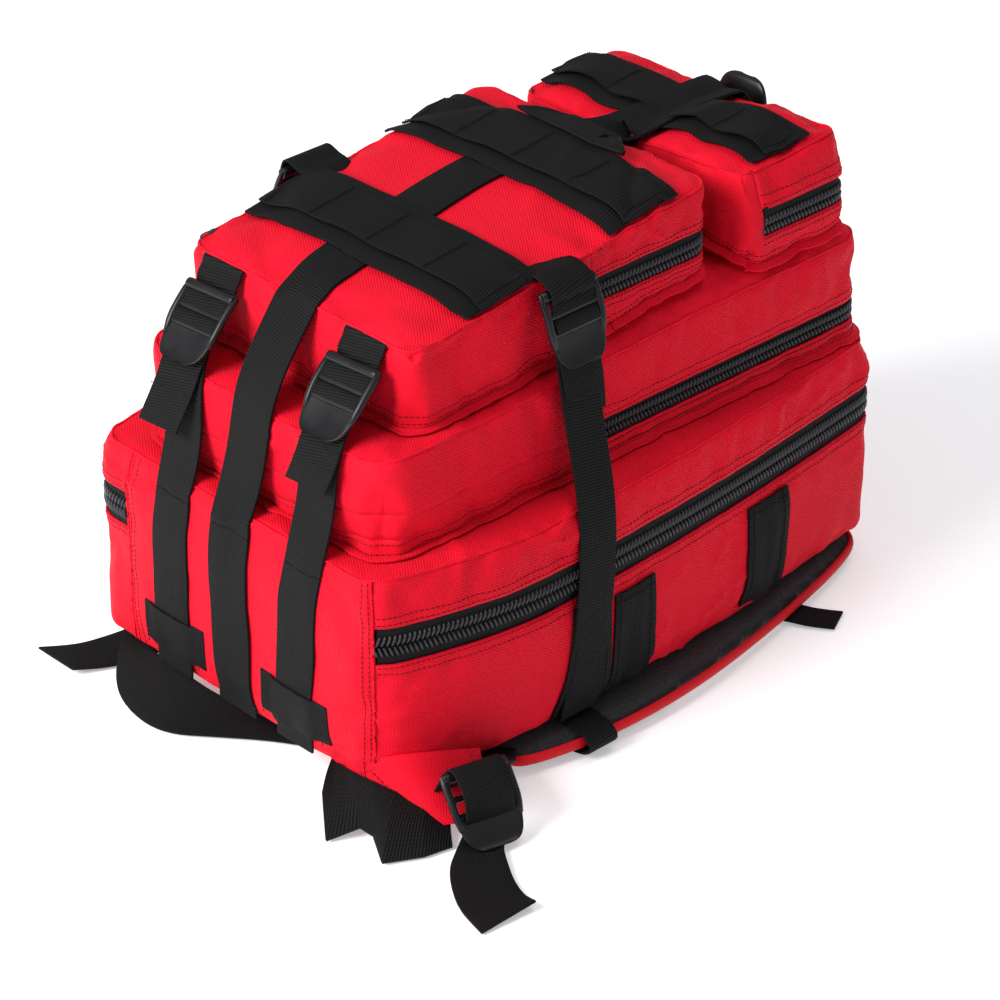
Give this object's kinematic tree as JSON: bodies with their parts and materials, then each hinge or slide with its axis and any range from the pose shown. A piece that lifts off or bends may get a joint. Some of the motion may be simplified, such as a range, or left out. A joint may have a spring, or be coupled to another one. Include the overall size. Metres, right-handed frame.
{
  "type": "trauma backpack",
  "caption": "Clamshell trauma backpack lying on its back, with zipped compartments and pockets, webbing rows, compression straps with ladder locks, and a shoulder harness.",
  "frame": {"origin": "on the floor plane under the middle of the back panel, where the pack lies on its back", "axes": "+Z from the back panel to the front pockets, +Y to the top end with the grab handle, +X to the side seen in the view"},
  "size_m": [0.4289, 0.5097, 0.3205],
  "materials": {
    "red_cloth": "woven polyester, fine ribbed weave",
    "black_webbing": "ribbed nylon webbing",
    "black_mesh": "air mesh over foam",
    "zip_tape": "zip tape with a glossy nylon coil",
    "black_plastic": "satin acetal",
    "slider_metal": "black lacquered zinc",
    "frame_board": "matt polyethylene sheet"
  },
  "bodies": {
    "back_half": {"main_rear_shell": "red_cloth", "main_zip_rear": "zip_tape", "frame_sheet": "frame_board", "inner_sleeve": "black_mesh", "back_pad": "black_mesh", "centre_strap_lower": "black_webbing", "bottom_strap_left_lower": "black_webbing", "bottom_strap_right_lower": "black_webbing", "strap_patch_left": "black_webbing", "strap_patch_right": "black_webbing", "side_strap_anchor_left": "black_webbing", "side_strap_anchor_right": "black_webbing", "side_molle_left": "black_webbing", "side_molle_right": "black_webbing", "strap_wing_left": "red_cloth", "strap_wing_right": "red_cloth"},
    "main_front": {"main_front_shell": "red_cloth", "main_zip_front": "zip_tape", "second_gusset": "red_cloth", "centre_strap_mid": "black_webbing", "bottom_strap_left_upper": "black_webbing", "bottom_strap_right_upper": "black_webbing"},
    "second_cover": {"second_cover_shell": "red_cloth", "second_zip": "zip_tape", "lower_pocket_shell": "red_cloth", "centre_strap_face": "black_webbing", "molle_row_1": "black_webbing", "upper_pocket_shell": "red_cloth"},
    "lower_flap": {"lower_flap_shell": "red_cloth", "molle_row_2": "black_webbing", "centre_strap_yoke": "black_webbing"},
    "yoke_strap": {"yoke_strap": "black_webbing"},
    "upper_flap": {"upper_flap_shell": "red_cloth", "molle_row_3": "black_webbing"},
    "side_strap_left": {"side_strap_left": "black_webbing"},
    "side_strap_right": {"side_strap_right": "black_webbing"},
    "bottom_lock_left": {"bottom_lock_left": "black_plastic"},
    "bottom_lock_right": {"bottom_lock_right": "black_plastic"},
    "side_lock_left": {"side_lock_left": "black_plastic"},
    "side_lock_right": {"side_lock_right": "black_plastic"},
    "top_lock": {"top_lock": "black_plastic"},
    "main_slider_left": {"main_slider_left": "slider_metal"},
    "main_pull_left": {"main_pull_left": "slider_metal"},
    "main_slider_right": {"main_slider_right": "slider_metal"},
    "main_pull_right": {"main_pull_right": "slider_metal"},
    "second_slider": {"second_slider": "slider_metal"},
    "second_pull": {"second_pull": "slider_metal"},
    "lower_slider": {"lower_slider": "slider_metal"},
    "lower_pull": {"lower_pull": "slider_metal"},
    "upper_slider": {"upper_slider": "slider_metal"},
    "upper_pull": {"upper_pull": "slider_metal"},
    "grab_handle": {"grab_handle": "black_webbing"},
    "hip_belt_left": {"hip_belt_left": "black_webbing"},
    "hip_belt_right": {"hip_belt_right": "black_webbing"},
    "shoulder_strap_left": {"shoulder_pad_left": "black_mesh", "shoulder_lock_left": "black_plastic", "shoulder_tail_left": "black_webbing"},
    "shoulder_strap_right": {"shoulder_pad_right": "black_mesh", "shoulder_lock_right": "black_plastic", "shoulder_tail_right": "black_webbing"}
  },
  "joints": [
    {"name": "main_open", "type": "hinge", "parent": "back_half", "child": "main_front", "pos_m": [0, -0.2289, 0.124], "axis": [1, 0, 0], "range_deg": [0, 110]},
    {"name": "second_gape", "type": "hinge", "parent": "main_front", "child": "second_cover", "pos_m": [0, -0.205, 0.262], "axis": [1, 0, 0], "range_deg": [0, 8]},
    {"name": "lower_flap_open", "type": "hinge", "parent": "second_cover", "child": "lower_flap", "pos_m": [0, -0.02, 0.308], "axis": [1, 0, 0], "range_deg": [0, 60]},
    {"name": "upper_flap_open", "type": "hinge", "parent": "second_cover", "child": "upper_flap", "pos_m": [0, 0.124, 0.31], "axis": [1, 0, 0], "range_deg": [0, 50]},
    {"name": "yoke_strap_lift", "type": "hinge", "parent": "lower_flap", "child": "yoke_strap", "pos_m": [0, 0.085, 0.3215], "axis": [1, 0, 0], "range_deg": [0, 58]},
    {"name": "side_strap_left_swing", "type": "hinge", "parent": "back_half", "child": "side_strap_left", "pos_m": [-0.1537, -0.048, 0.078], "axis": [0, -1, 0], "range_deg": [0, 66]},
    {"name": "side_strap_right_swing", "type": "hinge", "parent": "back_half", "child": "side_strap_right", "pos_m": [0.1537, -0.048, 0.078], "axis": [0, 1, 0], "range_deg": [0, 66]},
    {"name": "bottom_lock_left_tilt", "type": "hinge", "parent": "second_cover", "child": "bottom_lock_left", "pos_m": [-0.0721, -0.177, 0.2675], "axis": [-0.9974, 0, -0.0718], "range_deg": [0, 45]},
    {"name": "bottom_lock_right_tilt", "type": "hinge", "parent": "second_cover", "child": "bottom_lock_right", "pos_m": [0.0579, -0.177, 0.2675], "axis": [-0.9974, 0, -0.0718], "range_deg": [0, 45]},
    {"name": "side_lock_left_tilt", "type": "hinge", "parent": "second_cover", "child": "side_lock_left", "pos_m": [-0.115, -0.048, 0.292], "axis": [0, 1, 0], "range_deg": [0, 45]},
    {"name": "side_lock_right_tilt", "type": "hinge", "parent": "second_cover", "child": "side_lock_right", "pos_m": [0.107, -0.048, 0.292], "axis": [0, -1, 0], "range_deg": [0, 45]},
    {"name": "top_lock_tilt", "type": "hinge", "parent": "second_cover", "child": "top_lock", "pos_m": [0, 0.216, 0.265], "axis": [-1, 0, 0], "range_deg": [0, 60]},
    {"name": "main_slider_left_travel", "type": "slide", "parent": "back_half", "child": "main_slider_left", "axis": [-1, 0, 0], "range_m": [0, 0.085]},
    {"name": "main_slider_right_travel", "type": "slide", "parent": "back_half", "child": "main_slider_right", "axis": [1, 0, 0], "range_m": [0, 0.085]},
    {"name": "second_slider_travel", "type": "slide", "parent": "main_front", "child": "second_slider", "axis": [1, 0, 0], "range_m": [-0.1, 0.055]},
    {"name": "lower_slider_travel", "type": "slide", "parent": "second_cover", "child": "lower_slider", "axis": [1, 0, 0], "range_m": [-0.1, 0.035]},
    {"name": "upper_slider_travel", "type": "slide", "parent": "second_cover", "child": "upper_slider", "axis": [1, 0, 0], "range_m": [0, 0.03]},
    {"name": "main_pull_left_swing", "type": "hinge", "parent": "main_slider_left", "child": "main_pull_left", "pos_m": [-0.0075, 0.234, 0.118], "axis": [0, 0, -1], "range_deg": [0, 100]},
    {"name": "main_pull_right_swing", "type": "hinge", "parent": "main_slider_right", "child": "main_pull_right", "pos_m": [0.0075, 0.234, 0.118], "axis": [0, 0, 1], "range_deg": [0, 100]},
    {"name": "second_pull_swing", "type": "hinge", "parent": "second_slider", "child": "second_pull", "pos_m": [0.02, 0.2295, 0.182], "axis": [0, 0, 1], "range_deg": [0, 100]},
    {"name": "lower_pull_swing", "type": "hinge", "parent": "lower_slider", "child": "lower_pull", "pos_m": [0.03, 0.0928, 0.271], "axis": [0, 0, 1], "range_deg": [0, 30]},
    {"name": "upper_pull_swing", "type": "hinge", "parent": "upper_slider", "child": "upper_pull", "pos_m": [0.042, 0.2098, 0.271], "axis": [0, 0, 1], "range_deg": [0, 60]},
    {"name": "grab_handle_swing", "type": "hinge", "parent": "back_half", "child": "grab_handle", "pos_m": [0, 0.2317, 0.038], "axis": [-1, 0, 0], "range_deg": [0, 95]},
    {"name": "shoulder_strap_left_splay", "type": "hinge", "parent": "back_half", "child": "shoulder_strap_left", "pos_m": [-0.085, 0.205, 0.01], "axis": [0, 0, -1], "range_deg": [0, 12]},
    {"name": "shoulder_strap_right_splay", "type": "hinge", "parent": "back_half", "child": "shoulder_strap_right", "pos_m": [0.085, 0.205, 0.01], "axis": [0, 0, 1], "range_deg": [0, 12]},
    {"name": "hip_belt_left_swing", "type": "hinge", "parent": "back_half", "child": "hip_belt_left", "pos_m": [-0.095, -0.225, 0.0012], "axis": [0, 0, 1], "range_deg": [-10, 6]},
    {"name": "hip_belt_right_swing", "type": "hinge", "parent": "back_half", "child": "hip_belt_right", "pos_m": [0.092, -0.238, 0.02], "axis": [0, 0, 1], "range_deg": [-12, 8]}
  ],
  "couplings": [
    {"joint": "side_strap_left_swing", "follows": "main_open", "ratio": 0.6},
    {"joint": "side_strap_right_swing", "follows": "main_open", "ratio": 0.6},
    {"joint": "yoke_strap_lift", "follows": "upper_flap_open", "ratio": 1.15}
  ]
}
